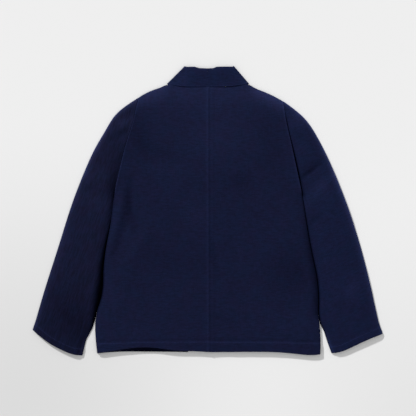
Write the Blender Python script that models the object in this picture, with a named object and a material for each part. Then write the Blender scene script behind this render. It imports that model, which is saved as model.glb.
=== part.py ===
"""Noragi jacket laid flat with its back up: a short open jacket of thick indigo cotton with a band collar.

Every piece is a wall of cloth as a maker cuts it: two backs joined down the centre, two fronts, two
sleeves, and a collar band in two halves, each of which runs from the centre back round the neck and
down its front edge to the hem. The fronts and the lower layers of the sleeves lie flat on the surface,
and the backs and the upper layers lie on them.

X is to the right as the back is seen, Y points to the collar and Z up. The origin is on the surface,
under the middle of the jacket. Sizes are in millimetres until a mesh is made.
"""

import math
from collections import namedtuple

import bmesh
import bpy
from mathutils import Vector, geometry

MM = 0.001

# Cloth and seams
CLOTH = 2.6  # one layer of the cloth
SEAM = 0.3  # between two pieces at a seam, and between two layers that lie on each other
ARMHOLE_SEAM = 0.45
HEM_WALL = 3.8  # the turned hem of backs and fronts, three layers pressed flat
HEM_DEPTH = 28.0
CUFF_WALL = 3.4
CUFF_DEPTH = 19.0
ARMHOLE_WALL = 3.3  # the seam allowance lies under the edge of the back
ARMHOLE_DEPTH = 9.0
STEP_LENGTH = 7.0  # over which a wall grows to its turned thickness

# Room between the layers
BODY_LOFT = 2.6  # above what the back lies on, over the middle of the body
HEM_LOFT = 0.9
ARMHOLE_LOFT = 2.9
SLEEVE_GAP = 3.2  # inside a sleeve, between its two layers
FOLD_GAP = 0.8  # inside a sleeve's folded edge
ARMHOLE_GAP = 1.1
NECK_LOFT = 0.2
MOST_GAP = 3.8
ROLL = 18.0  # over which a side or shoulder edge comes down to the front
ARMHOLE_ROLL = 36.0
SLEEVE_ROLL = 27.0
FOLD_RADIUS = 5.0  # of a sleeve's folded edges
FOLD_LEAN = math.radians(60)  # how far round its fold the sleeve has one more place

# Collar band
BAND_WALL = 3.6  # two layers of cloth
BAND_LAY = 0.5  # between its back stretch and its front stretch, one above the other
BAND_REACH = 52.0  # from the centre front to the band's seam, below the chest
NECK_REACH = 110.0  # from the centre to the band's seam at the neck
NECK_HEIGHT = 334.0  # where the band turns over the neck

# A place on the left edge and its like on the right edge, in plan.
Place = namedtuple("Place", "name left_x left_y right_x right_y")
# A soft fold along a line from one place to another: a ridge has a height above 0, a trough below it.
Fold = namedtuple("Fold", "name x1 y1 x2 y2 half_width height")

SIDES = {"left": -1, "right": 1}

CENTRE_BACK = (
    Place("hem", 1.0, -370.6, 1.0, -370.6),
    Place("collar seam", -0.8, 330.7, -0.8, 330.7),
)
SIDE_EDGE = (
    Place("hem corner", -293.4, -374.2, 296.3, -376.3),
    Place("hem top", -298.0, -334.0, 297.6, -342.0),
    Place("hip", -299.8, -290.0, 295.5, -300.0),
    Place("hip tuck", -292.0, -253.0, 289.6, -258.0),
    Place("above the tuck", -279.6, -217.0, 291.8, -222.0),
    Place("waist", -277.6, -160.0, 287.0, -170.0),
    Place("rib", -270.6, -97.0, 272.5, -104.0),
    Place("below the armpit", -257.8, -31.0, 260.0, -31.0),
    Place("armpit", -248.4, 45.0, 248.6, 45.0),
    Place("lower armhole", -233.0, 117.0, 233.4, 117.0),
    Place("middle armhole", -217.6, 179.0, 220.0, 180.0),
    Place("upper armhole", -199.0, 237.0, 207.0, 236.0),
    Place("shoulder tip", -185.0, 302.0, 198.5, 292.5),
)
ARMPIT_Y = 45.0
SHOULDER = (
    Place("neck point", -108.7, 333.2, 107.6, 333.2),
    Place("by the neck", -131.0, 328.4, 127.0, 326.0),
    Place("middle", -153.0, 320.0, 160.5, 313.0),
    Place("outer", -171.0, 312.0, 180.0, 303.5),
    Place("shoulder tip", -185.0, 302.0, 198.5, 292.5),
)
BACK_HEM = (
    Place("centre", 1.0, -370.6, 1.0, -370.6),
    Place("inner", -74.7, -368.4, 137.0, -369.7),
    Place("middle", -154.2, -362.0, 190.3, -371.0),
    Place("outer", -233.7, -365.2, 243.3, -376.3),
    Place("by the side", -268.0, -371.0, 275.0, -379.3),
    Place("side", -293.4, -374.2, 296.3, -376.3),
)
FRONT_HEM = (
    Place("band", -52.3, -370.6, 52.3, -369.4),
    Place("middle", -154.0, -369.4, 170.0, -370.0),
    Place("outer", -240.0, -369.6, 250.0, -375.6),
    Place("side", -293.4, -374.2, 296.3, -376.3),
)
NECK_SEAM = (
    Place("centre back", -0.8, 331.0, -0.8, 331.0),
    Place("middle", -60.0, 330.4, 58.0, 330.8),
    Place("fold", -108.1, 333.6, 107.0, 333.6),
)
COLLAR_TOP = (
    Place("centre back", -0.8, 381.8, -0.8, 381.8),
    Place("middle", -30.0, 383.2, 36.0, 383.6),
    Place("fold", -62.4, 382.6, 66.0, 383.0),
)
FRONT_SEAM = (
    Place("fold", -108.1, 333.6, 107.0, 333.6),
    Place("chest", -81.0, 222.0, 81.0, 222.0),
    Place("below the chest", -59.0, 96.0, 59.0, 96.0),
    Place("waist", -BAND_REACH, 0.0, BAND_REACH, 0.0),
    Place("hem", -BAND_REACH, -370.6, BAND_REACH, -369.4),
)
FRONT_EDGE = (
    Place("fold", -62.4, 382.6, 66.0, 383.0),
    Place("chest", -32.0, 222.0, 32.0, 222.0),
    Place("below the chest", -10.0, 96.0, 10.0, 96.0),
    Place("waist", -3.0, 0.0, 3.0, 0.0),
    Place("hem", -3.0, -370.6, 3.0, -369.4),
)
SLEEVE_TOP = (
    Place("cuff", -465.0, -311.6, 462.2, -322.0),
    Place("above the cuff", -456.0, -285.0, 451.0, -292.0),
    Place("wrist", -438.4, -222.6, 436.4, -222.6),
    Place("forearm", -398.4, -95.4, 404.0, -95.4),
    Place("elbow", -358.6, 31.8, 361.8, 31.8),
    Place("upper arm", -306.0, 159.0, 308.6, 159.0),
    Place("below the cap", -268.4, 222.6, 274.4, 222.6),
    Place("cap corner", -252.0, 252.0, 257.0, 247.0),
    Place("cap", -231.0, 273.0, 229.0, 271.5),
    Place("shoulder tip", -185.6, 302.4, 199.2, 292.9),
)
SLEEVE_UNDER = (
    Place("cuff", -332.8, -379.0, 326.4, -373.6),
    Place("above the cuff", -324.4, -343.0, 315.4, -344.0),
    Place("wrist", -317.2, -312.0, 306.4, -315.0),
    Place("hip", -307.0, -286.0, 298.4, -288.0),
    Place("hip tuck", -294.4, -256.0, 291.6, -258.0),
    Place("above the tuck", -281.7, -217.0, 293.2, -222.0),
    Place("forearm", -279.0, -160.0, 288.3, -170.0),
    Place("rib", -272.0, -97.0, 273.9, -104.0),
    Place("below the armpit", -259.2, -31.0, 261.4, -31.0),
    Place("armpit", -248.9, 45.0, 249.1, 45.0),
)
CUFF = (
    Place("outer", -465.0, -311.6, 462.2, -322.0),
    Place("upper", -426.0, -344.0, 417.6, -339.4),
    Place("middle", -392.6, -362.6, 386.0, -354.6),
    Place("lower", -350.0, -380.0, 350.0, -371.4),
    Place("under", -332.8, -379.0, 326.4, -373.6),
)

BODY_FOLDS = (
    Fold("side crease, upper", -204, 66, -208, -10, 11, -1.2),
    Fold("side crease, lower", -208, -10, -247, -127, 12, -1.2),
    Fold("side ridge", -160, -20, -212, -154, 22, 0.9),
    Fold("yoke hollow", -160, 160, -48, 124, 15, -0.7),
    Fold("centre ridge", -44, 20, -20, -30, 20, 0.6),
    Fold("upper right hollow", 158, 250, 204, 185, 26, -0.7),
    Fold("middle right hollow", 40, 92, 100, 62, 20, -0.7),
    Fold("centre hollow", 18, -60, 36, -134, 15, -0.8),
    Fold("right side hollow", 204, -130, 252, -196, 28, -1.0),
    Fold("hem hollow", 16, -268, 96, -312, 18, -0.8),
    Fold("hem lift", -215, -352, -90, -354, 40, 1.1),
)
SLEEVE_FOLDS = (
    Fold("left armhole hollow", -232, 206, -262, 40, 13, -1.3),
    Fold("left cap ridge", -262, 215, -240, 240, 13, 0.7),
    Fold("left elbow ridge", -345, 38, -300, 18, 26, 0.8),
    Fold("right arm trough", 288, 146, 252, 88, 11, -1.3),
    Fold("right arm ridge", 312, 76, 262, 34, 16, 0.9),
    Fold("right elbow trough", 304, 12, 266, -28, 10, -1.0),
    Fold("right wrist ridge", 366, -180, 392, -250, 26, 0.7),
)

BODY_ROWS = 28
NECK_COLUMNS = 6
SHOULDER_COLUMNS = 7
FRONT_COLUMNS = 7
SLEEVE_ROWS = 24
SLEEVE_TOP_SPANS = 9
SLEEVE_UNDER_SPANS = 6
BAND_COLUMNS = 2
BACK_BAND_ROWS = 6
FRONT_BAND_ROWS = 20
BAND_FOLD_ROWS = 5
CROWDING = 1.5  # how much closer rows lie at a rolled edge
FAN = 1.8  # how long the rings of a sleeve keep their feet by the armpit
BEND_STEPS = 16  # between two points of a smooth line
HEADING_STEP = 0.002  # share of a line over which its heading is read

INDIGO = (0.0095, 0.0125, 0.036, 1.0)


def ease(share):
    """Goes smoothly from 0 at share 0 to 1 at share 1."""
    share = min(max(share, 0.0), 1.0)
    return share * share * (3 - 2 * share)


def between(low, high, value):
    return min(max(value, low), high)


def crowd(share):
    """Spaces even shares closer and closer towards 1."""
    return 1 - (1 - share) ** CROWDING


def rows_from_hem(length, depth, count):
    """Shares of a length for rows: the hem's edge, middle and top, its step's end, and on to the end."""
    start = depth + STEP_LENGTH
    marks = [0.0, depth / 2, depth]
    steps = count - len(marks)
    marks += [start + (length - start) * crowd(i / steps) for i in range(steps + 1)]
    return [mark / length for mark in marks]


def edge_points(places, side):
    """The plan points of a table's left or right column."""
    if side == "left":
        return [Vector((p.left_x, p.left_y)) for p in places]
    return [Vector((p.right_x, p.right_y)) for p in places]


class Line:
    """A smooth line through plan points, read by the share of its length."""

    def __init__(self, points):
        self.points = [points[0]]
        for i in range(len(points) - 1):
            start, end = points[i], points[i + 1]
            reach = (end - start).length / 3
            leave = start + self.heading(points, i) * reach
            arrive = end - self.heading(points, i + 1) * reach
            bend = geometry.interpolate_bezier(start, leave, arrive, end, BEND_STEPS)
            self.points += [Vector(p) for p in bend[1:]]
        self.lengths = [0.0]
        for a, b in zip(self.points, self.points[1:]):
            self.lengths.append(self.lengths[-1] + (b - a).length)

    @staticmethod
    def heading(points, i):
        before, after = points[max(i - 1, 0)], points[min(i + 1, len(points) - 1)]
        return (after - before).normalized()

    @property
    def length(self):
        return self.lengths[-1]

    def at(self, share):
        wanted = between(0.0, 1.0, share) * self.length
        i = 1
        while i < len(self.lengths) - 1 and self.lengths[i] < wanted:
            i += 1
        span = self.lengths[i] - self.lengths[i - 1]
        part = (wanted - self.lengths[i - 1]) / span
        return self.points[i - 1].lerp(self.points[i], part)

    def share_at_height(self, y):
        """The share of a rising line's length at which it passes y."""
        for i in range(1, len(self.points)):
            low, high = self.points[i - 1].y, self.points[i].y
            if low <= y <= high:
                part = (y - low) / (high - low)
                return (self.lengths[i - 1] + part * (self.lengths[i] - self.lengths[i - 1])) / self.length
        return 1.0


class Part:
    """The stretch of a line from one share of its length to another, moved aside by a distance."""

    def __init__(self, line, start, end, aside=0.0):
        self.line, self.start, self.end, self.aside = line, start, end, aside

    def at(self, share):
        here = self.start + (self.end - self.start) * share
        along = self.line.at(here + HEADING_STEP) - self.line.at(here - HEADING_STEP)
        along.normalize()
        return self.line.at(here) + Vector((-along.y, along.x)) * self.aside


class Joined:
    """Two lines end to end. The first takes the shares up to the joint."""

    def __init__(self, first, second):
        self.first, self.second = first, second
        self.length = first.length + second.length
        self.joint = first.length / self.length

    def at(self, share):
        if share <= self.joint:
            return self.first.at(share / self.joint)
        return self.second.at((share - self.joint) / (1 - self.joint))


class Fanned:
    """A line whose shares crowd towards its end."""

    def __init__(self, line):
        self.line = line

    def at(self, share):
        return self.line.at(1 - (1 - share) ** FAN)


def patch(low, high, near, far):
    """Plan places inside four edge lines: u goes from the near to the far line, v from low to high."""
    low_near, low_far = low.at(0), low.at(1)
    high_near, high_far = high.at(0), high.at(1)

    def place(u, v):
        up = low.at(u).lerp(high.at(u), v)
        over = near.at(v).lerp(far.at(v), u)
        corners = low_near.lerp(low_far, u).lerp(high_near.lerp(high_far, u), v)
        return up + over - corners

    return place


def folds_at(folds, x, y):
    """The height that the soft folds add at a plan place."""
    here, total = Vector((x, y)), 0.0
    for fold in folds:
        start, end = Vector((fold.x1, fold.y1)), Vector((fold.x2, fold.y2))
        along = end - start
        part = between(0.0, 1.0, (here - start).dot(along) / along.length_squared)
        away = (here - start - along * part).length / fold.half_width
        total += fold.height * math.exp(-away * away)
    return total


def hem_share(distance, depth):
    """1 in a turned hem and 0 above it, at a distance from the hem's edge."""
    return 1 - ease((distance - depth) / STEP_LENGTH)


def front_wall(from_hem):
    return CLOTH + (HEM_WALL - CLOTH) * hem_share(from_hem, HEM_DEPTH)


def band_cover(x, y):
    """1 where the collar band lies under the back and 0 away from it."""
    reach = BAND_REACH + (NECK_REACH - BAND_REACH) * between(0.0, 1.0, y / NECK_HEIGHT)
    return 1 - ease((abs(x) - reach - SEAM) / ROLL)


def side_edge(side):
    return Line(edge_points(SIDE_EDGE, side))


def back_top(side):
    """The back's upper edge: the neck seam from the centre back, then the shoulder."""
    down = Vector((0, SEAM))
    neck = Line([p - down for p in edge_points(NECK_SEAM, side)])
    return Joined(neck, Line(edge_points(SHOULDER, side)))


def back_panel(side):
    """Outer and inner rows of one back, from the hem to the collar seam and the shoulder."""
    sign = SIDES[side]
    edge = side_edge(side)
    top = back_top(side)
    hem = Line(edge_points(BACK_HEM, side))
    centre = Line(edge_points(CENTRE_BACK, side))
    centre_edge = Part(centre, 0.0, 1.0, aside=-sign * SEAM / 2)
    place = patch(hem, top, centre_edge, edge)
    shoulder = 1 - top.joint
    columns = [top.joint * i / NECK_COLUMNS for i in range(NECK_COLUMNS)]
    columns += [top.joint + shoulder * crowd(i / SHOULDER_COLUMNS) for i in range(SHOULDER_COLUMNS + 1)]
    armpit_share = edge.share_at_height(ARMPIT_Y)
    outer, inner = [], []
    for v in rows_from_hem(edge.length, HEM_DEPTH, BODY_ROWS):
        over, under = [], []
        for u in columns:
            here = place(u, v)
            from_hem = (here - hem.at(u)).length
            from_top = (here - top.at(u)).length
            from_side = (here - edge.at(v)).length
            by_armhole = ease((v - armpit_share) * edge.length / ROLL + 0.5)
            by_shoulder = ease((u - top.joint) * top.length / ROLL + 0.5)
            in_hem = hem_share(from_hem, HEM_DEPTH)
            loft = BODY_LOFT + folds_at(BODY_FOLDS, here.x, here.y)
            loft += (HEM_LOFT - BODY_LOFT) * in_hem
            at_armhole = by_armhole * (1 - ease(from_side / ARMHOLE_ROLL))
            loft += (ARMHOLE_LOFT - loft) * at_armhole
            loft *= by_armhole + (1 - by_armhole) * ease(from_side / ROLL)
            loft += (NECK_LOFT * (1 - by_shoulder) - loft) * (1 - ease(from_top / ROLL))
            support = front_wall(from_hem)
            support += (BAND_WALL - support) * band_cover(here.x, here.y) * (1 - in_hem)
            wall = CLOTH + (HEM_WALL - CLOTH) * in_hem
            seam_ply = by_armhole * hem_share(from_side, ARMHOLE_DEPTH) * ease(from_top / ROLL)
            wall += (ARMHOLE_WALL - CLOTH) * seam_ply
            low = support + SEAM + between(0.0, MOST_GAP - SEAM, loft)
            under.append(here.to_3d() + Vector((0, 0, low)))
            over.append(here.to_3d() + Vector((0, 0, low + wall)))
        outer.append(over)
        inner.append(under)
    return outer, inner


def front_panel(side):
    """Upper and lower rows of one front, which lies flat, from the hem to the shoulder."""
    sign = SIDES[side]
    edge = side_edge(side)
    hem = Line(edge_points(FRONT_HEM, side))
    shoulder = Line(edge_points(SHOULDER, side))
    seam = Line(edge_points(FRONT_SEAM, side)[::-1])
    band_edge = Part(seam, 0.0, 1.0, aside=-sign * SEAM)
    place = patch(hem, shoulder, band_edge, edge)
    upper, lower = [], []
    for v in rows_from_hem(edge.length, HEM_DEPTH, BODY_ROWS):
        over, under = [], []
        for column in range(FRONT_COLUMNS + 1):
            here = place(column / FRONT_COLUMNS, v)
            from_hem = (here - hem.at(column / FRONT_COLUMNS)).length
            under.append(here.to_3d())
            over.append(here.to_3d() + Vector((0, 0, front_wall(from_hem))))
        upper.append(over)
        lower.append(under)
    return upper, lower


def sleeve_ring(width):
    """The places round a flattened sleeve: distance from its top fold, how high, and which way is in.

    How high is 1 on the upper layer, 0 on the lower one, and between them round the two folds.
    """
    across = math.cos(FOLD_LEAN)
    rise = math.sin(FOLD_LEAN)
    near = FOLD_RADIUS * (1 - across)
    flat = width - 2 * FOLD_RADIUS
    ring = [(0.0, 0.5, (1, 0)), (near, 0.5 + rise / 2, (across, -rise))]
    for i in range(SLEEVE_TOP_SPANS + 1):
        ring.append((FOLD_RADIUS + flat * i / SLEEVE_TOP_SPANS, 1.0, (0, -1)))
    ring.append((width - near, 0.5 + rise / 2, (-across, -rise)))
    ring.append((width, 0.5, (-1, 0)))
    ring.append((width - near, 0.5 - rise / 2, (-across, rise)))
    for i in range(SLEEVE_UNDER_SPANS, -1, -1):
        ring.append((FOLD_RADIUS + flat * i / SLEEVE_UNDER_SPANS, 0.0, (0, 1)))
    ring.append((near, 0.5 - rise / 2, (across, rise)))
    return ring


def sleeve(side):
    """Outer and inner rings of one sleeve, from the cuff to the armhole."""
    sign = SIDES[side]
    edge = side_edge(side)
    armpit = edge.share_at_height(ARMPIT_Y)
    armhole = Part(edge, 1.0, armpit, aside=-sign * ARMHOLE_SEAM)
    cuff = Line(edge_points(CUFF, side))
    top_fold = Line(edge_points(SLEEVE_TOP, side))
    under_fold = Line(edge_points(SLEEVE_UNDER, side))
    feet = Fanned(under_fold)
    place = patch(cuff, armhole, top_fold, feet)
    outer, inner = [], []
    for v in rows_from_hem(top_fold.length, CUFF_DEPTH, SLEEVE_ROWS):
        width = (top_fold.at(v) - feet.at(v)).length
        outside, inside = [], []
        for away, high, inward in sleeve_ring(width):
            here = place(away / width, v)
            from_cuff = (here - cuff.at(away / width)).length
            from_armhole = (here - armhole.at(away / width)).length
            wall = CLOTH + (CUFF_WALL - CLOTH) * hem_share(from_cuff, CUFF_DEPTH)
            loft = SLEEVE_GAP + folds_at(SLEEVE_FOLDS, here.x, here.y)
            loft += (ARMHOLE_GAP - loft) * (1 - ease(from_armhole / ROLL))
            loft += (ARMHOLE_GAP - loft) * hem_share(from_cuff, CUFF_DEPTH)
            middle = ease((min(away, width - away) - FOLD_RADIUS) / SLEEVE_ROLL)
            gap = FOLD_GAP + (between(FOLD_GAP, MOST_GAP, loft) - FOLD_GAP) * middle
            point = here.to_3d() + Vector((0, 0, high * (2 * wall + gap)))
            deeper = place((away + inward[0] * wall) / width, v).to_3d()
            deeper.z = point.z + inward[1] * wall
            outside.append(point)
            inside.append(deeper)
        outer.append(outside)
        inner.append(inside)
    return outer, inner


def collar_band(side):
    """Outer and inner rows of one half of the collar, from the centre back to the hem of the front."""
    sign = SIDES[side]
    neck = Line(edge_points(NECK_SEAM, side))
    top = Line(edge_points(COLLAR_TOP, side))
    seam = Line(edge_points(FRONT_SEAM, side))
    edge = Line(edge_points(FRONT_EDGE, side))
    low = BAND_WALL / 2
    high = low + BAND_WALL + BAND_LAY
    turn = (high - low) / 2
    fold = top.at(1) - neck.at(1)
    out = Vector((sign * abs(fold.y), abs(fold.x), 0)).normalized()
    up = Vector((0, 0, 1))
    rows = []
    for i in range(BACK_BAND_ROWS):
        t = i / BACK_BAND_ROWS
        clear = Vector((sign * SEAM / 2, 0)) * (1 - t)
        rows.append((neck.at(t) + clear, top.at(t) + clear, up * high, up))
    for i in range(BAND_FOLD_ROWS + 1):
        angle = math.pi * i / BAND_FOLD_ROWS
        facing = out * math.sin(angle) + up * math.cos(angle)
        rows.append((neck.at(1), top.at(1), up * (low + turn) + facing * turn, facing))
    for i in range(1, FRONT_BAND_ROWS + 1):
        t = i / FRONT_BAND_ROWS
        rows.append((seam.at(t), edge.at(t), up * low, -up))
    outer, inner = [], []
    for sewn, free, lift, facing in rows:
        across = [sewn.lerp(free, i / BAND_COLUMNS).to_3d() + lift for i in range(BAND_COLUMNS + 1)]
        outer.append([p + facing * BAND_WALL / 2 for p in across])
        inner.append([p - facing * BAND_WALL / 2 for p in across])
    return outer, inner


def wall_faces(rows, columns, around):
    """Quads of an outer grid, an inner grid and the rims that join them, by vertex number."""
    count = rows * columns

    def quads(shift):
        wide = columns if around else columns - 1
        for r in range(rows - 1):
            for c in range(wide):
                d = (c + 1) % columns
                yield [shift + r * columns + c, shift + r * columns + d,
                       shift + (r + 1) * columns + d, shift + (r + 1) * columns + c]

    faces = list(quads(0)) + [q[::-1] for q in quads(count)]
    rims = []
    for r in (0, rows - 1):
        line = [r * columns + c for c in range(columns)] + ([r * columns] if around else [])
        rims.append(line if r else line[::-1])
    if not around:
        rims.append([r * columns for r in range(rows)])
        rims.append([r * columns + columns - 1 for r in range(rows)][::-1])
    for line in rims:
        faces += [[b, a, a + count, b + count] for a, b in zip(line, line[1:])]
    return faces


def cloth_wall(name, grids, material, collection, around=False):
    """A closed wall of cloth between an outer and an inner grid of points in millimetres."""
    outer, inner = grids
    mesh = bpy.data.meshes.new(name)
    points = [p * MM for grid in (outer, inner) for row in grid for p in row]
    mesh.from_pydata(points, [], wall_faces(len(outer), len(outer[0]), around))
    shaped = bmesh.new()
    shaped.from_mesh(mesh)
    bmesh.ops.recalc_face_normals(shaped, faces=shaped.faces)
    shaped.to_mesh(mesh)
    shaped.free()
    mesh.shade_smooth()
    mesh.set_sharp_from_angle(angle=math.radians(40))
    mesh.materials.append(material)
    piece = bpy.data.objects.new(name, mesh)
    collection.objects.link(piece)
    return piece


def indigo_cloth(name):
    material = bpy.data.materials.new(name)
    material.use_nodes = True
    shader = material.node_tree.nodes["Principled BSDF"]
    shader.inputs["Base Color"].default_value = INDIGO
    shader.inputs["Roughness"].default_value = 0.9
    shader.inputs["Metallic"].default_value = 0.0
    return material


def clear_scene():
    for obj in list(bpy.data.objects):
        bpy.data.objects.remove(obj, do_unlink=True)


def main():
    clear_scene()
    collection = bpy.data.collections.new("noragi_jacket")
    bpy.context.scene.collection.children.link(collection)
    for side in SIDES:
        pieces = {
            f"back_{side}": back_panel(side),
            f"front_{side}": front_panel(side),
            f"sleeve_{side}": sleeve(side),
            f"collar_{side}": collar_band(side),
        }
        for name, grids in pieces.items():
            cloth_wall(name, grids, indigo_cloth(name), collection, around=name.startswith("sleeve"))


main()
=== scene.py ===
# Noragi jacket of thick slubby indigo cotton, laid flat with its back up.
# Each solid of the frame is dressed in a thin shell of cloth that follows its outline and its height,
# with the folds, turned hems, seams and stitches that the photograph shows.

import math

import bmesh
import bpy
import numpy as np
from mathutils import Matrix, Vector
from mathutils.bvhtree import BVHTree


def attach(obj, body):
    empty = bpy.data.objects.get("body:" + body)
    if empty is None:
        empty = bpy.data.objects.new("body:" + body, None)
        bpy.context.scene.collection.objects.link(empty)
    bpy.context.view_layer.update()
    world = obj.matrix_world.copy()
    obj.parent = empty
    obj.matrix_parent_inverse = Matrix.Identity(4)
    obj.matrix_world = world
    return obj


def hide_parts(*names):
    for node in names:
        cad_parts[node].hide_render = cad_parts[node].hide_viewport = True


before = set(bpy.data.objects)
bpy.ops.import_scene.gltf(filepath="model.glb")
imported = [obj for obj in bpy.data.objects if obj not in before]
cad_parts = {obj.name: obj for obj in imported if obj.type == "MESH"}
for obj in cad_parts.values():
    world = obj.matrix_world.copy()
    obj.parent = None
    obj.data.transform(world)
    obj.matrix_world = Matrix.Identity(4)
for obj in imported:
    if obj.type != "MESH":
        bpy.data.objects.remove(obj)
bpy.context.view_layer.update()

mm = 0.001
sides = {"left": -1, "right": 1}


def toLinear(hexColour):
    # sRGB hex to linear red, green, blue and alpha
    parts = [int(hexColour[i:i + 2], 16) / 255 for i in (1, 3, 5)]
    return [c / 12.92 if c <= 0.04045 else ((c + 0.055) / 1.055) ** 2.4 for c in parts] + [1.0]


# Smooth shapes in numbers: all lengths here are in millimetres, and turn to metres when a mesh is made.

def ease(share):
    share = np.clip(share, 0.0, 1.0)
    return share * share * (3 - 2 * share)


def bump(distance, halfWidth):
    return np.exp(-(distance / halfWidth) ** 2)


def bell(reach):
    steps = np.arange(-3 * reach, 3 * reach + 1)
    weights = np.exp(-0.5 * (steps / reach) ** 2)
    return weights / weights.sum()


def softenLine(line, reach):
    # takes the corners off a line of places and keeps both its ends
    wide = 3 * reach
    before = 2 * line[0] - line[wide:0:-1]
    after = 2 * line[-1] - line[-2:-wide - 2:-1]
    padded = np.vstack([before, line, after])
    return np.stack([np.convolve(padded[:, k], bell(reach), "valid") for k in range(line.shape[1])], 1)


def softenGrid(grid, reach):
    for axis in (0, 1):
        padded = np.pad(grid, [(3 * reach, 3 * reach) if k == axis else (0, 0) for k in (0, 1)], mode="edge")
        grid = np.apply_along_axis(np.convolve, axis, padded, bell(reach), "valid")
    return grid


def lineLength(line):
    return np.linalg.norm(np.diff(line, axis=0), axis=1).sum()


def alongLine(line, shares):
    run = np.concatenate([[0], np.cumsum(np.linalg.norm(np.diff(line, axis=0), axis=1))])
    return np.stack([np.interp(shares, run / run[-1], line[:, k]) for k in range(line.shape[1])], -1)


def stepShares(length, step, startMarks=(), endMarks=()):
    # shares of a length at even steps, with closer ones at its two ends
    first = startMarks[-1] if startMarks else 0.0
    last = length - (endMarks[-1] if endMarks else 0.0)
    even = np.linspace(first, last, max(2, int(round((last - first) / step)) + 1))
    marks = list(startMarks[:-1]) + list(even) + [length - m for m in reversed(endMarks[:-1])]
    return np.array(marks) / length


class Solid:
    # a CAD node, read so that the cloth follows its outline in plan and its height

    def __init__(self, name):
        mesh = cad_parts[name].data
        points = np.empty(len(mesh.vertices) * 3)
        mesh.vertices.foreach_get("co", points)
        self.points = points.reshape(-1, 3) / mm
        edges = np.empty(len(mesh.edges) * 2, int)
        mesh.edges.foreach_get("vertices", edges)
        self.edges = edges.reshape(-1, 2)
        faces = [list(face.vertices) for face in mesh.polygons]
        self.tree = BVHTree.FromPolygons(self.points.tolist(), faces)

    def span(self, axis, value):
        # lowest and highest other plan coordinate where the plane x or y = value cuts the node
        along = "xy".index(axis)
        a, b = self.points[self.edges[:, 0]], self.points[self.edges[:, 1]]
        cut = ((a[:, along] < value) != (b[:, along] < value))
        a, b = a[cut], b[cut]
        share = (value - a[:, along]) / (b[:, along] - a[:, along])
        other = a[:, 1 - along] + share * (b[:, 1 - along] - a[:, 1 - along])
        return other.min(), other.max()

    def edgeLine(self, axis, start, end, side, step=6.0, reach=2):
        # the node's outline from start to end of one axis: side 0 is the low one, 1 the high one
        values = np.linspace(start, end, max(8, int(abs(end - start) / step)))
        other = [self.span(axis, v)[side] for v in values]
        line = np.stack([values, other] if axis == "x" else [other, values], 1)
        return softenLine(line, reach)

    def heights(self, plan, fromAbove=True):
        # height of the node's upper or lower side over each plan place
        start, way = (50.0, Vector((0, 0, -1))) if fromAbove else (-50.0, Vector((0, 0, 1)))
        flat = plan.reshape(-1, 2)
        found = np.full(len(flat), np.nan)
        for i, (x, y) in enumerate(flat):
            hit = self.tree.ray_cast(Vector((x, y, start)), way)[0]
            if hit is not None:
                found[i] = hit.z
        found[np.isnan(found)] = np.nanmedian(found)
        return found.reshape(plan.shape[:2])


class Patch:
    # plan places inside four edge lines: u runs from near to far, v from low to high

    def __init__(self, low, high, near, far, fan=1.0):
        self.low, self.high, self.near, self.far, self.fan = low, high, near, far, fan

    def ends(self, v):
        return alongLine(self.near, v), alongLine(self.far, 1 - (1 - v) ** self.fan)

    def widths(self, v):
        near, far = self.ends(v)
        return np.linalg.norm(near - far, axis=1)

    def plan(self, u, v):
        u = np.broadcast_to(u, (len(v), np.shape(u)[-1]))
        low, high = alongLine(self.low, u), alongLine(self.high, u)
        near, far = self.ends(v)
        near, far, u, v = near[:, None], far[:, None], u[..., None], v[:, None, None]
        corners = (self.low[0] * (1 - u) + self.low[-1] * u) * (1 - v)
        corners = corners + (self.high[0] * (1 - u) + self.high[-1] * u) * v
        return low * (1 - v) + high * v + near * (1 - u) + far * u - corners

    def cover(self, solid, u, v, reach=3, step=4.0, inset=1.5, fromAbove=True):
        # the solid's height over the patch, softened, at the shares u and v
        wide, long = lineLength(self.low) + lineLength(self.high), lineLength(self.near)
        evenU = np.linspace(0, 1, int(wide / 2 / step) + 2)
        evenV = np.linspace(0, 1, int(long / step) + 2)
        insetU, insetV = inset / (wide / 2), inset / long
        places = self.plan(np.clip(evenU, insetU, 1 - insetU), np.clip(evenV, insetV, 1 - insetV))
        grid = softenGrid(solid.heights(places, fromAbove), reach)
        byRow = np.stack([np.interp(v, evenV, column) for column in grid.T], 1)
        u = np.broadcast_to(u, (len(v), np.shape(u)[-1]))
        return np.stack([np.interp(u[i], evenU, byRow[i]) for i in range(len(v))])


def unevenness(plan, size, height, seed):
    # a gentle random swell with hills about size apart, the same each run
    lattice = np.random.default_rng(seed).normal(0, 1, (64, 64))
    x, y = (plan[..., 0] + 600) / size % 63, (plan[..., 1] + 600) / size % 63
    i, j = x.astype(int), y.astype(int)
    fx, fy = ease(x - i), ease(y - j)
    low = lattice[i, j] * (1 - fx) + lattice[i + 1, j] * fx
    high = lattice[i, j + 1] * (1 - fx) + lattice[i + 1, j + 1] * fx
    return height * (low * (1 - fy) + high * fy)


def foldHeights(plan, folds):
    # each fold runs from its start past its bend to its end, and is shallower towards its ends
    total = np.zeros(plan.shape[:-1])
    for name, x1, y1, x2, y2, x3, y3, halfWidth, height in folds:
        t = np.linspace(0, 1, 14)[:, None]
        start, bend, end = np.array([x1, y1]), np.array([x2, y2]), np.array([x3, y3])
        spine = start * (1 - t) ** 2 + bend * 2 * t * (1 - t) + end * t ** 2
        lowest, highest = spine.min(0) - 3 * halfWidth, spine.max(0) + 3 * halfWidth
        near = ((plan > lowest) & (plan < highest)).all(-1)
        away = np.linalg.norm(plan[near][:, None] - spine[None], axis=2)
        closest = away.argmin(1)
        strength = 0.35 + 0.65 * np.sin(np.pi * np.clip(closest / 13, 0.08, 0.92))
        total[near] += height * strength * bump(away.min(1), halfWidth)
    return total


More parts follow.
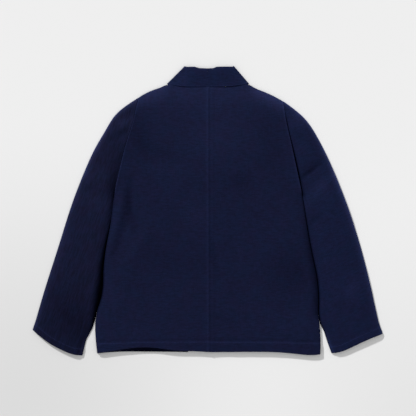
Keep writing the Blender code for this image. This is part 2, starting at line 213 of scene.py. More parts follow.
def wallFaces(rows, columns, around):
    # quads of an outer grid and an inner grid, and of the rims that join them
    ids = np.arange(rows * columns).reshape(rows, columns)
    if around:
        ids = np.hstack([ids, ids[:, :1]])
    quads = np.stack([ids[:-1, :-1], ids[:-1, 1:], ids[1:, 1:], ids[1:, :-1]], -1).reshape(-1, 4)
    count = rows * columns
    rims = [ids[0][::-1], ids[-1]]
    if not around:
        rims += [ids[:, 0], ids[::-1, -1]]
    rimQuads = [np.stack([rim[1:], rim[:-1], rim[:-1] + count, rim[1:] + count], -1) for rim in rims]
    return np.vstack([quads, quads[:, ::-1] + count] + rimQuads)


def makeCloth(name, outer, inner, material, node, paintedLightAndShade, around=False):
    # a closed wall of cloth between two grids of places, outer side first; the painted light and shade kept
    # on the mesh is 1 where the cloth is painted neither lighter nor darker
    rows, columns = outer.shape[:2]
    points = np.concatenate([outer.reshape(-1, 3), inner.reshape(-1, 3)]) * mm
    mesh = bpy.data.meshes.new(name)
    mesh.from_pydata(points.tolist(), [], wallFaces(rows, columns, around).tolist())
    values = np.tile(np.broadcast_to(paintedLightAndShade, outer.shape[:2]).ravel(), 2).astype(np.float32)
    mesh.attributes.new("paintedLightAndShade", "FLOAT", "POINT").data.foreach_set("value", values)
    shaped = bmesh.new()
    shaped.from_mesh(mesh)
    bmesh.ops.recalc_face_normals(shaped, faces=shaped.faces)
    shaped.to_mesh(mesh)
    shaped.free()
    mesh.shade_smooth()
    mesh.materials.append(material)
    piece = bpy.data.objects.new(name, mesh)
    bpy.context.scene.collection.objects.link(piece)
    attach(piece, "root")
    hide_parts(node)
    return piece


def withHeights(plan, heights):
    return np.concatenate([plan, heights[..., None]], -1)


def rounded(distance, width):
    # 0 at an edge and 1 from width inwards, as a quarter round
    share = np.clip(distance / width, 0, 1)
    return np.sqrt(1 - (1 - share) ** 2)


def paintedLightPatches(plan, patches):
    # soft areas of painted light and shade: name, place, two half widths, turn in degrees, amount
    tone = np.ones(plan.shape[:-1])
    for name, x, y, halfLength, halfWidth, turn, amount in patches:
        c, d = math.cos(math.radians(turn)), math.sin(math.radians(turn))
        right, up = plan[..., 0] - x, plan[..., 1] - y
        along, across = right * c + up * d, up * c - right * d
        tone += amount * np.exp(-(along / halfLength) ** 2 - (across / halfWidth) ** 2)
    return tone


# Materials

def addNode(tree, kind, settings=None, **links):
    # a node with its settings; a link is named for its socket, with _ for a space
    node = tree.nodes.new(kind)
    for name, value in (settings or {}).items():
        if name in node.inputs:
            node.inputs[name].default_value = value
        else:
            setattr(node, name, value)
    for name, source in links.items():
        tree.links.new(source, node.inputs[name.replace("_", " ")])
    return node


clothFinish = {
    "warp": "#0a0f28",  # the darker thread, dyed deep
    "weft": "#101635",  # the slubby thread, a little paler where it stands up
    "threadSpacing": 3.0,  # mm; the real threads are about 0.8 mm apart, too fine to show
    "slubLength": 12.0,  # mm
    "slubSpacing": 3.4,  # mm
    "bumpDepth": 0.25,  # mm
    "redder": (1.12, 0.95, 0.98),  # the dye's cast wanders a little over each hand's breadth
    "greener": (0.88, 1.05, 1.02),
    "castScale": 38.0,  # to the metre
    "fadeScale": 9.0,  # to the metre
    "roughness": 0.92,
    "ior": 1.46,
    "nap": 0.2,
    "napTint": "#7c88dc",
    "napRoughness": 0.35,
    "gloss": 0.12,
}


def indigoCotton(name, turn, tint=(1, 1, 1), slub=1.0, thread=0.35):
    # Slubby plain-weave cotton, vat-dyed indigo: matt and nearly black, with a blue nap that catches
    # low light at folds and edges. turn lays the grain along the piece, tint is its place on the bolt,
    # and slub and thread are how much its weft and its warp show.
    c = clothFinish
    material = bpy.data.materials.new(name)
    material.use_nodes = True
    tree = material.node_tree
    shader = tree.nodes["Principled BSDF"]
    shader.inputs["Roughness"].default_value = c["roughness"]
    shader.inputs["IOR"].default_value = c["ior"]
    shader.inputs["Sheen Roughness"].default_value = c["napRoughness"]
    shader.inputs["Sheen Tint"].default_value = toLinear(c["napTint"])
    place = addNode(tree, "ShaderNodeTexCoord").outputs["Object"]
    turned = {"Rotation": (0, 0, math.radians(turn))}
    grain = addNode(tree, "ShaderNodeMapping", turned, Vector=place).outputs[0]
    perMetre = 1 / mm
    across = addNode(tree, "ShaderNodeMapping", {"Scale": (
        perMetre / c["slubLength"], perMetre / c["slubSpacing"], perMetre / c["slubSpacing"])}, Vector=grain)
    slubs = addNode(tree, "ShaderNodeTexNoise", {"Scale": 1.0, "Detail": 2.0, "Roughness": 0.55},
                    Vector=across.outputs[0]).outputs[0]
    down = addNode(tree, "ShaderNodeMapping", {"Scale": (
        perMetre / c["threadSpacing"], perMetre / (2 * c["slubLength"]), perMetre / c["threadSpacing"])},
        Vector=grain)
    threads = addNode(tree, "ShaderNodeTexNoise", {"Scale": 1.0, "Detail": 2.0, "Roughness": 0.5},
                      Vector=down.outputs[0]).outputs[0]
    fade = addNode(tree, "ShaderNodeTexNoise", {"Scale": c["fadeScale"], "Detail": 3.0, "Roughness": 0.5},
                   Vector=place).outputs[0]
    cast = addNode(tree, "ShaderNodeTexNoise", {"Scale": c["castScale"], "Detail": 1.0},
                   Vector=place).outputs[0]
    castShare = addNode(tree, "ShaderNodeMapRange", {"From Min": 0.35, "From Max": 0.65}, Value=cast)
    dyeCast = addNode(tree, "ShaderNodeMix", {"data_type": "RGBA"})
    tree.links.new(castShare.outputs[0], dyeCast.inputs["Factor"])
    dyeCast.inputs[6].default_value, dyeCast.inputs[7].default_value = (*c["redder"], 1), (*c["greener"], 1)
    slubby = addNode(tree, "ShaderNodeMath", {"operation": "MULTIPLY_ADD"})
    tree.links.new(slubs, slubby.inputs[0])
    slubby.inputs[1].default_value, slubby.inputs[2].default_value = slub, -0.5 * (slub + thread)
    weave = addNode(tree, "ShaderNodeMath", {"operation": "MULTIPLY_ADD"})
    tree.links.new(threads, weave.inputs[0])
    weave.inputs[1].default_value = thread
    tree.links.new(slubby.outputs[0], weave.inputs[2])
    mixed = addNode(tree, "ShaderNodeMapRange", {"From Min": -0.25, "From Max": 0.25}, Value=weave.outputs[0])
    dyed = addNode(tree, "ShaderNodeMix", {"data_type": "RGBA", "blend_type": "MIX"})
    tree.links.new(mixed.outputs[0], dyed.inputs["Factor"])
    for socket, colour in ((6, c["warp"]), (7, c["weft"])):
        dyed.inputs[socket].default_value = [a * b for a, b in zip(toLinear(colour), (*tint, 1))]
    tone = addNode(tree, "ShaderNodeMapRange", {"From Min": 0.3, "From Max": 0.7,
                                                "To Min": 0.96, "To Max": 1.04}, Value=fade)
    # painted light and shade: the mesh attribute below scales the dyed colour, the nap and the gloss
    paintedLightAndShade = addNode(tree, "ShaderNodeAttribute", {"attribute_name": "paintedLightAndShade"}).outputs["Fac"]
    both = addNode(tree, "ShaderNodeMath", {"operation": "MULTIPLY"})
    tree.links.new(tone.outputs[0], both.inputs[0])
    tree.links.new(paintedLightAndShade, both.inputs[1])
    toned = addNode(tree, "ShaderNodeVectorMath", {"operation": "SCALE"}, Scale=both.outputs[0])
    recast = addNode(tree, "ShaderNodeVectorMath", {"operation": "MULTIPLY"})
    tree.links.new(dyed.outputs[2], recast.inputs[0])
    tree.links.new(dyeCast.outputs[2], recast.inputs[1])
    tree.links.new(recast.outputs[0], toned.inputs[0])
    tree.links.new(toned.outputs[0], shader.inputs["Base Color"])
    for socket, amount in (("Sheen Weight", c["nap"]), ("Specular IOR Level", c["gloss"])):
        level = addNode(tree, "ShaderNodeMath", {"operation": "MULTIPLY"})
        tree.links.new(paintedLightAndShade, level.inputs[0])
        level.inputs[1].default_value = amount
        tree.links.new(level.outputs[0], shader.inputs[socket])
    relief = addNode(tree, "ShaderNodeBump", {"Strength": 1.0, "Distance": c["bumpDepth"] * mm},
                     Height=weave.outputs[0])
    tree.links.new(relief.outputs[0], shader.inputs["Normal"])
    return material


stitch = {
    "colour": "#1b2450",
    "radius": 0.42,
    "pitch": 3.9,
    "share": 0.72,  # of the pitch that the thread shows on top
}


def stitchRun(name, path):
    # a run of separate stitches lying on the cloth along a line of places, as one joined piece
    t = stitch
    rings = corners = 6
    each = rings * corners
    count = int(lineLength(path) / t["pitch"])
    shares = (np.arange(count)[:, None] + 0.5 + t["share"] * np.linspace(-0.5, 0.5, rings)[None]) / count
    spines = alongLine(path, shares)
    spines[..., 2] += t["radius"] * np.array([-1.6, 0.1, 0.45, 0.45, 0.1, -1.6])
    size = t["radius"] * np.array([0.35, 0.85, 1.0, 1.0, 0.85, 0.35])
    along = np.gradient(spines, axis=1)
    side = np.cross(along, (0, 0, 1.0))
    side /= np.linalg.norm(side, axis=2, keepdims=True)
    angles = np.linspace(0, 2 * math.pi, corners, endpoint=False)
    ring = side[:, :, None] * np.cos(angles)[:, None] + np.array([0, 0, 1.0]) * np.sin(angles)[:, None]
    points = spines[:, :, None] + ring * size[None, :, None, None]
    base = np.arange(count)[:, None, None, None] * each
    i, k = np.arange(rings - 1)[:, None, None] * corners, np.arange(corners)[None, :, None]
    beside = (k + 1) % corners
    quad = np.concatenate([i + k, i + beside, i + corners + beside, i + corners + k], -1)
    faces = (quad[None] + base).reshape(-1, 4).tolist()
    for start in range(0, count * each, each):
        end = start + each
        faces += [list(range(start + corners - 1, start - 1, -1)), list(range(end - corners, end))]
    mesh = bpy.data.meshes.new(name)
    mesh.from_pydata((points.reshape(-1, 3) * mm).tolist(), [], faces)
    mesh.shade_smooth()
    mesh.materials.append(cottonThread())
    piece = bpy.data.objects.new(name, mesh)
    bpy.context.scene.collection.objects.link(piece)
    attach(piece, "root")
    return piece


def cottonThread():
    # Spun cotton thread, dyed to the cloth: matt, a shade lighter where it lies proud.
    material = bpy.data.materials.get("indigoCottonThread")
    if material is None:
        material = bpy.data.materials.new("indigoCottonThread")
        material.use_nodes = True
        tree = material.node_tree
        shader = tree.nodes["Principled BSDF"]
        shader.inputs["Base Color"].default_value = toLinear(stitch["colour"])
        shader.inputs["Roughness"].default_value = 0.8
        shader.inputs["IOR"].default_value = 1.5
        shader.inputs["Specular IOR Level"].default_value = 0.2
        place = addNode(tree, "ShaderNodeTexCoord").outputs["Object"]
        waves = {"Scale": 700.0, "Distortion": 1.0, "bands_direction": "DIAGONAL"}
        twist = addNode(tree, "ShaderNodeTexWave", waves, Vector=place)
        ply = addNode(tree, "ShaderNodeBump", {"Distance": 0.1 * mm}, Height=twist.outputs["Fac"])
        tree.links.new(ply.outputs[0], shader.inputs["Normal"])
    return material


def lineAtDistance(grid, distance, wanted, columns):
    # where each column of a grid of places lies at the wanted distance from its first row
    rows = len(grid) // 2
    wanted = np.broadcast_to(wanted, grid.shape[1])
    return np.array([[np.interp(wanted[j], distance[:rows, j], grid[:rows, j, k]) for k in range(3)]
                     for j in columns])


# Backs

back = {
    "thickness": 1.7,
    "step": 3.0,
    "hemDepth": 27.5,
    "hemLineX": (0, 200, 295),  # the stitched line stays straight where the edge below it waves
    "hemLineY": (-342.6, -343.6, -346.8),
    "hemRise": 1.25,
    "seamRise": 1.1,
    "foldLightAndShade": 0.07,  # painted light and shade: how much paler the cloth is painted for each mm that a fold stands up, and darker for each mm of a trough
    "stitchInside": 1.8,
    "centreHem": {"left": 0.995, "right": 1.005},
    "centreNeck": {"left": -0.805, "right": -0.795},
    "hemCorner": {"left": (-293.4, -374.2), "right": (296.3, -376.3)},
    "shoulderTip": {"left": (-185.0, 302.0), "right": (198.5, 292.5)},
    "armpitY": 45.0,
    "allowance": 14.0,  # pressed to the right of the centre seam
    "collarEnd": 126.0,
    "underCollar": 0.8,  # how far the back runs in under the collar's seam
    "sideRoll": 15.0,
    # how far in from the shoulder edge the painted highlight reaches, in mm
    "shoulderHighlight": {"left": 10, "right": 15},
    "swells": ((70, 0.35, 3), (28, 0.14, 5)),  # size, height and seed of the unevenness
    "hemWaves": ((-45, 38, 1.7), (-166, 66, 4.6)),  # place, half width and height
    "neckRise": (111, 11, 3.4),
}

# painted light and shade: name, place, half length and half width, turn in degrees, and how much paler or
# deeper it is painted
bodyPaintedLight = [
    ("shoulders", 0, 322, 270, 55, 0, 0.34),
    ("upper back", 20, 205, 115, 78, 0, 0.2),
    ("side crease", -206, 2, 10, 60, 10, -0.22),
    ("side crease, low", -240, -88, 10, 26, -25, -0.12),
    ("blade crease", -140, 158, 52, 10, -22, -0.04),
    ("right shoulder", 172, 300, 62, 22, -28, 0.35),
    ("left shoulder", -145, 305, 52, 18, 26, 0.15),
    ("by the left armhole", -178, 190, 26, 55, 0, -0.16),
    ("by the right armhole", 168, 200, 42, 66, 0, -0.12),
    ("right of the seam", 84, 82, 42, 24, 0, -0.13),
    ("left of the seam", -30, -3, 30, 32, 0, 0.1),
    ("left blade", -115, 110, 50, 30, 0, 0.05),
    ("left waist", -100, -125, 125, 50, 0, -0.08),
    ("right waist", 215, -160, 58, 58, 0, -0.18),
]

# name, start, bend and end of the fold in plan, half width and height (a ridge above 0, a trough below)
bodyFolds = [
    ("side crease", -204, 80, -205, -12, -250, -112, 11, -2.6),
    ("edge ridge", -226, 62, -232, 0, -254, -72, 9, 0.8),
    ("side ridge", -156, -34, -182, -84, -214, -134, 15, 1.5),
    ("blade crease", -184, 182, -128, 150, -42, 124, 13, -0.7),
    ("back trough", 5, -58, 12, -112, 34, -176, 10, -1.3),
    ("back ridge", 84, -86, 93, -130, 92, -192, 7, 0.5),
    ("hem trough", 12, -274, 46, -284, 88, -308, 8, -0.9),
    ("hem ridge", 60, -258, 120, -262, 190, -276, 12, 0.6),
    ("waist trough", 122, -2, 140, -22, 168, -26, 14, -0.7),
    ("right side trough", 236, -110, 248, -160, 262, -214, 14, -0.9),
    ("left low ridge", -250, -180, -238, -230, -246, -290, 18, 0.6),
    ("left low trough", -214, -190, -190, -206, -150, -196, 12, -0.6),
]


def hemLift(x):
    # how far the back's hem rises above the front's
    return sum(height * bump(x - place, halfWidth) for place, halfWidth, height in back["hemWaves"])


def neckLift(x):
    # the shoulders rise a little where they meet the collar's corners
    place, halfWidth, height = back["neckRise"]
    return height * bump(np.abs(x) - place, halfWidth)


def dressBack(side):
    b = back
    sign = sides[side]
    solid = Solid(f"back_{side}")
    corner, tip = np.array(b["hemCorner"][side]), np.array(b["shoulderTip"][side])
    low = np.vstack([solid.edgeLine("x", b["centreHem"][side] + sign, corner[0] - sign, 0), corner])
    high = np.vstack([solid.edgeLine("x", b["centreNeck"][side] + sign, tip[0] - sign, 1), tip])
    low = np.vstack([(b["centreHem"][side], low[0][1]), low])
    low[:-1, 1] += hemLift(low[:-1, 0])
    high = np.vstack([(b["centreNeck"][side], high[0][1]), high])
    neck = np.array(collar["neckSeam"][side] + [collar["foot"][side], (sign * b["collarEnd"], 0)])
    underBand = np.interp(sign * high[:, 0], sign * neck[:, 0], neck[:, 1] + b["underCollar"])
    high[:, 1] = np.maximum(high[:, 1], underBand)
    high[:, 1] += neckLift(high[:, 0])
    near = np.linspace(low[0], high[0], 80)
    outside = 0 if side == "left" else 1
    far = np.vstack([corner, solid.edgeLine("y", corner[1] + 2, tip[1] - 2, outside), tip])
    sheet = Patch(low, high, near, far)
    rim = (0.0, 0.3, 0.9, 1.8, 3.0)
    u = stepShares(lineLength(low), b["step"], rim, rim)
    v = stepShares(lineLength(near), b["step"], rim, rim)
    plan = sheet.plan(u, v)
    fromHem = np.linalg.norm(plan - alongLine(low, u)[None], axis=2)
    fromTop = np.linalg.norm(plan - alongLine(high, u)[None], axis=2)
    fromSide = np.linalg.norm(plan - alongLine(far, v)[:, None], axis=2)
    fromCentre = np.linalg.norm(plan - alongLine(near, v)[:, None], axis=2)
    top = sheet.cover(solid, u, v)
    under = sheet.cover(solid, u, v, fromAbove=False)
    folds = foldHeights(plan, bodyFolds)
    top += folds
    top += sum(unevenness(plan, *swell) for swell in b["swells"])
    hemY = np.interp(np.abs(plan[..., 0]), b["hemLineX"], b["hemLineY"])
    hemLine = hemY - alongLine(low, u)[None, :, 1] + 0.8 * unevenness(plan, 60, 1.0, 12)
    top += b["hemRise"] * (ease((hemLine + 2 - fromHem) / 4) - ease((hemLine + 16 - fromHem) / 34))
    pucker = 1 + 0.5 * np.sin(plan[..., 0] / 2.9 + 2 * np.sin(plan[..., 0] / 17))
    top -= 0.45 * pucker * bump(fromHem - hemLine + b["stitchInside"], 1.5)
    top += b["seamRise"] * bump(fromCentre, 3.6) * (1 + 0.2 * np.sin(plan[..., 1] / 3.1))
    if side == "right":
        top += 0.45 * (1 - ease((fromCentre - b["allowance"]) / 3)) - 0.3 * bump(fromCentre - 5.5, 2.5)
    y = plan[..., 1]
    armhole = ease((y - b["armpitY"]) / 12)
    drop = 1.8 * (1 - armhole) * (1 - rounded(fromSide, b["sideRoll"])) + 1.2 * (1 - rounded(fromHem, 2.4))
    drop += 1.0 * armhole * (1 - rounded(fromSide, 1.6)) - 0.7 * armhole * bump(fromSide, 5)
    drop += 1.2 * (1 - rounded(fromTop, 2.4)) + 2.0 * (1 - ease(fromTop / 45)) * ease(fromCentre / 140)
    top = np.maximum(top - drop, under + 0.8)
    inner = np.maximum(top - b["thickness"], under)
    # painted light and shade: paler on fold ridges, the lit armhole edges, the centre seam, the hem, the
    # turned hem's step and the shoulder edges, darker in creases and in the shade beside the sleeves
    paintedLightAndShade = paintedLightPatches(plan, bodyPaintedLight) + b["foldLightAndShade"] * folds
    beside = (1 - armhole) * ease((y + 300) / 40)
    if side == "right":
        paintedLightAndShade *= 1 - 0.48 * beside * ease((40 - y) / 200) * bump(fromSide, 14)
    else:
        paintedLightAndShade *= 1 - 0.75 * bump(y + 205, 60) * bump(fromSide, 3.2)
    paintedLightAndShade *= 1 - 0.3 * beside * bump(fromSide, 3)
    paintedLightAndShade *= 1 + 0.45 * armhole * bump(fromSide, 3.5) + 0.2 * bump(fromCentre, 2.4)
    paintedLightAndShade *= 1 + 0.14 * bump(fromHem - hemLine + 1, 2.5) - 0.12 * bump(fromHem - hemLine - 5, 3)
    beyondCollar = ease((fromCentre - 95) / 30)
    paintedLightAndShade *= 1 + 0.2 * bump(fromHem, 3) + 0.8 * beyondCollar * np.exp(-fromTop / b["shoulderHighlight"][side])
    piece = makeCloth(f"back_{side}_cloth", withHeights(plan, top), withHeights(plan, inner),
                      indigoCotton(f"indigoCottonBack{side.title()}", 0), f"back_{side}", paintedLightAndShade)
    hemStitch = lineAtDistance(withHeights(plan, top), fromHem, hemLine[0] - b["stitchInside"],
                               range(5, len(u) - 6))
    stitches = stitchRun(f"back_{side}_hem_stitches", hemStitch)


# Fronts: they lie flat under the backs, and show only at the hem and the neck

front = {
    "step": 6.0,
    "bandX": 52.5,
    "bandTopX": 107.8,
}


def dressFront(side):
    f, b = front, back
    sign = sides[side]
    solid = Solid(f"front_{side}")
    corner, tip = np.array(b["hemCorner"][side]), np.array(b["shoulderTip"][side])
    low = np.vstack([solid.edgeLine("x", sign * (f["bandX"] + 1), corner[0] - sign, 0), corner])
    high = np.vstack([solid.edgeLine("x", sign * (f["bandTopX"] + 1.5), tip[0] - sign, 1), tip])
    high[:, 1] += neckLift(high[:, 0])
    inside, outside = (1, 0) if side == "left" else (0, 1)
    near = np.vstack([low[0], solid.edgeLine("y", low[0][1] + 3, high[0][1] - 6, inside), high[0]])
    far = np.vstack([corner, solid.edgeLine("y", corner[1] + 2, tip[1] - 2, outside), tip])
    sheet = Patch(low, high, near, far)
    rim = (0.0, 0.4, 1.2, 2.6)
    u = stepShares(lineLength(low), f["step"], rim, rim)
    v = stepShares(lineLength(near), f["step"], rim, rim)
    plan = sheet.plan(u, v)
    fromHem = np.linalg.norm(plan - alongLine(low, u)[None], axis=2)
    fromSide = np.linalg.norm(plan - alongLine(far, v)[:, None], axis=2)
    top = sheet.cover(solid, u, v)
    top -= 0.35 * bump(fromHem - b["hemDepth"] + b["stitchInside"], 1.5)
    edge = rounded(np.minimum(fromHem, fromSide), 2.2)
    top -= 0.9 * (1 - edge)
    bottom = 0.5 * (1 - edge)
    # painted shade: the front is a little darker all over, and much darker along the stretch of its hem that
    # shows under the back's hem
    paintedLightAndShade = 0.9 - 0.72 * bump(fromHem, 14) * bump(plan[..., 0] + 168, 90)
    piece = makeCloth(f"front_{side}_cloth", withHeights(plan, top), withHeights(plan, bottom),
                      indigoCotton(f"indigoCottonFront{side.title()}", 0), f"front_{side}", paintedLightAndShade)


# Sleeves

sleeve = {
    "thickness": 1.3,
    "step": 3.2,
    "cuffDepth": 18.5,
    "cuffThickness": 2.6,
    "topRound": 15.0,
    "underRoll": {"left": 21.0, "right": 13.0},
    "underDrop": {"left": 5.0, "right": 3.8},
    "armholeDrop": {"left": (1.8, 22.0), "right": (2.6, 6.0)},
    "gapY": {"left": (-372, -330, -307, -286, -268, -250, -100),
             "right": (-366, -330, -313, -300, -290, -280, -100)},
    "gap": {"left": (60, 20, 7, 1.8, 0.5, 0.2, 0.05), "right": (60, 16, 9, 3, 0.8, 0.4, 0.05)},
    "outlineShift": 1.5,
    "seamClose": 0.32,
    # painted highlight along each sleeve's outer fold, where the nap catches the light: its strength by y,
    # and how far in it reaches in mm
    "rimLightY": (-380, -150, 10, 100, 165, 240, 300),
    "rim": {"left": (0.8, 0.9, 0.9, 1.5, 2.3, 1.8, 1.5), "right": (0.9, 2.2, 2.6, 3.0, 3.0, 2.5, 2.3)},
    "rimLightReach": {"left": 6.5, "right": 5.0},
    "slub": {"left": 0.5, "right": 1.0},
    "thread": {"left": 1.6, "right": 0.4},
    "tint": {"left": (1.03, 0.9, 0.87), "right": (0.94, 1.04, 1.05)},
    "underRound": 4.0,
    "middle": 0.42,
    "fan": 1.8,
    "cuffOuter": {"left": (-465.0, -311.6), "right": (462.2, -322.0)},
    "cuffUnder": {"left": (-332.8, -379.0), "right": (326.4, -373.6)},
    "armpit": {"left": (-248.9, 45.0), "right": (249.1, 45.0)},
    "tip": {"left": (-185.6, 302.4), "right": (199.2, 292.9)},
    "grainTurn": {"left": 19.4, "right": -19.4},
    "hollowFrom": {"left": (230, 170), "right": (275, 130)},  # start and run of the armhole's hollow
    "valleyY": (-345, -290, -250, -215, -150, -50, -20),  # the deep shade under the left arm
    "valley": (5, 8, 13, 19, 13, 5.5, 4),
}

# as for the body
# painted light and shade on the sleeves
sleevePaintedLight = [
    ("left arm, upper", -293, 88, 32, 26, 0, 0.12),
    ("left arm, lower", -300, 22, 24, 32, 0, 0.12),
    ("left forearm", -378, -280, 95, 105, 0, -0.24),
    ("left forearm, inside", -348, -300, 34, 60, 20, -0.14),
    ("left cap", -224, 232, 28, 14, 30, 0.35),
    ("right arm", 302, 58, 50, 28, 50, 0.24),
    ("right cap", 232, 246, 28, 16, -45, 0.3),
    ("right arm crease", 270, 107, 26, 5, 38, -0.22),
    ("right upper arm", 262, 165, 30, 42, 0, 0.06),
    ("right forearm", 383, -208, 30, 32, 0, 0.1),
]

sleeveFolds = [
    ("left cap ridge", -252, 214, -228, 230, -204, 241, 10, 1.1),
    ("left cap trough", -244, 194, -224, 208, -208, 214, 8, -1.0),
    ("left arm ridge, upper", -320, 98, -294, 102, -268, 82, 14, 1.0),
    ("left arm trough", -328, 62, -300, 62, -266, 50, 8, -0.9),
    ("left arm ridge, lower", -324, 32, -302, 34, -280, 8, 14, 0.9),
    ("left forearm ridge", -388, -120, -370, -165, -362, -232, 16, 0.7),
    ("left cuff ridge", -420, -268, -390, -280, -368, -318, 14, 0.5),
    ("right cap ridge", 208, 258, 230, 250, 250, 226, 10, 0.9),
    ("right arm trough", 308, 136, 288, 128, 250, 92, 14, -1.6),
    ("right arm crease", 250, 92, 268, 104, 298, 128, 5.5, -1.5),
    ("right arm ridge", 328, 90, 300, 66, 264, 12, 16, 1.5),
    ("right elbow trough", 302, -8, 284, -20, 268, -38, 8, -0.9),
    ("right forearm ridge", 398, -178, 384, -210, 370, -244, 16, 0.8),
    ("right cuff trough", 352, -250, 372, -272, 400, -284, 12, -0.5),
]


def dressSleeve(side):
    s = sleeve
    solid = Solid(f"sleeve_{side}")
    outside, inside = (0, 1) if side == "left" else (1, 0)
    outer, under = np.array(s["cuffOuter"][side]), np.array(s["cuffUnder"][side])
    armpit, tip = np.array(s["armpit"][side]), np.array(s["tip"][side])
    low = np.vstack([outer, solid.edgeLine("x", outer[0] * 0.99, under[0] * 1.01, 0), under])
    near = np.vstack([outer, solid.edgeLine("y", outer[1] + 4, tip[1] - 3, outside), tip])
    near[:, 0] += s["outlineShift"] * bump(near[:, 1] - 60, 190)
    far = np.vstack([under, solid.edgeLine("y", under[1] + 3, armpit[1] - 3, inside), armpit])
    beside = Solid(f"back_{side}").edgeLine("y", under[1] + 8, armpit[1], outside)
    bodyX = np.interp(far[:, 1], beside[:, 1], beside[:, 0])
    gap = np.minimum(np.abs(far[:, 0] - bodyX), np.interp(far[:, 1], s["gapY"][side], s["gap"][side]))
    far[1:, 0] = (bodyX + sides[side] * gap)[1:]
    high = np.vstack([tip, solid.edgeLine("y", tip[1] - 3, armpit[1] + 3, inside), armpit])
    high[:, 0] -= sides[side] * s["seamClose"]
    near[-1], far[-1] = high[0], high[-1]
    sheet = Patch(low, high, near, far, s["fan"])
    v = stepShares(lineLength(near), s["step"], (0.0, 0.4, 1.2, 2.4), (0.0, 0.5, 1.5, 3.0))
    width = sheet.widths(v)[:, None]
    rim = np.array([0.0, 0.12, 0.5, 1.1, 2.0, 3.2, 5.0, 7.2])
    spans = int(width.mean() / s["step"])
    upper = rim[-1] + (width - 2 * rim[-1]) * np.linspace(0, 1, spans)[None]
    upper = np.hstack([np.tile(rim[:-1], (len(v), 1)), upper, width - rim[-2::-1][None]])
    lower = rim[-3] + (width - 2 * rim[-3]) * np.linspace(0, 1, 16)[None]
    lower = np.hstack([np.tile(rim[1:-3], (len(v), 1)), lower, width - rim[-4:0:-1][None]])[:, ::-1]
    away = np.hstack([upper, lower])
    isUpper = np.arange(away.shape[1]) < upper.shape[1]
    plan = sheet.plan(away / width, v)
    fromCuff = np.linalg.norm(plan - alongLine(low, away / width), axis=2)
    fromArmhole = np.linalg.norm(plan - alongLine(high, away / width), axis=2)
    armhole = alongLine(high, np.linspace(0, 1, 200))
    fromSeam = np.linalg.norm(plan[:, :, None] - armhole, axis=3).min(2)
    full = sheet.cover(solid, away / width, v)
    folds = foldHeights(plan, sleeveFolds)
    full += folds + unevenness(plan, 60, 0.35, 8) + unevenness(plan, 26, 0.14, 9)
    full += 0.4 * (ease((s["cuffDepth"] + 2 - fromCuff) / 3) - ease((s["cuffDepth"] + 14 - fromCuff) / 30))
    around = np.arange(away.shape[1])[None] * s["step"]
    full -= 0.35 * (1 + 0.5 * np.sin(around / 2.7)) * bump(fromCuff - s["cuffDepth"] + 1.6, 1.5)
    turnedUp = 1 - ease((fromCuff - s["cuffDepth"]) / 4)
    thickness = s["thickness"] + (s["cuffThickness"] - s["thickness"]) * turnedUp
    fromUnder = np.abs(width - away)
    full -= s["underDrop"][side] * np.clip(1 - fromUnder / s["underRoll"][side], 0, 1) ** 1.7
    deep, reach = s["armholeDrop"][side]
    y = plan[..., 1]
    start, run = s["hollowFrom"][side]
    hollow = ease((start - y) / run)
    full -= deep * hollow * (1 + unevenness(plan, 24, 0.3, 21)) * np.clip(1 - fromSeam / reach, 0, 1) ** 1.5
    if side == "left":
        full += 1.6 * (1 - hollow) * bump(fromSeam, 5)
    else:
        full -= 1.2 * bump(y - 118, 42) * bump(fromSeam, 4)
    full = np.maximum(full, 2 * thickness + 0.4)
    middle = s["middle"] * full
    edge = np.minimum(away, width - away)
    zUpper = middle + (full - middle) * rounded(edge, s["topRound"])
    zLower = middle * (1 - rounded(edge, s["underRound"]))
    endRound = 0.5 * (1 - rounded(np.minimum(fromCuff, fromArmhole), 1.6))
    zOuter = np.where(isUpper, zUpper - endRound, zLower + endRound)
    insetAway = thickness + away * (width - 2 * thickness) / width
    inPlan = sheet.plan(insetAway / width, v)
    zInner = np.where(isUpper, np.maximum(zUpper - thickness, middle + 0.15),
                      np.minimum(zLower + thickness, middle - 0.15))
    outerGrid = withHeights(plan, zOuter)
    # painted light and shade: paler on fold ridges, in the listed patches, along the outer folds and at the
    # cuff's turned edge, darker in creases, in the armhole hollow and in the deep shade where the sleeve
    # meets the body
    paintedLightAndShade = paintedLightPatches(plan, sleevePaintedLight) + back["foldLightAndShade"] * folds
    paintedLightAndShade *= 1 + np.interp(y, s["rimLightY"], s["rim"][side]) * np.exp(-away / s["rimLightReach"][side])
    creased = ease((y + 345) / 60)
    if side == "left":
        reach = np.interp(y, s["valleyY"], s["valley"])
        paintedLightAndShade *= 1 - 0.97 * creased * ease((-8 - y) / 20) * np.exp(-(fromUnder / reach) ** 3)
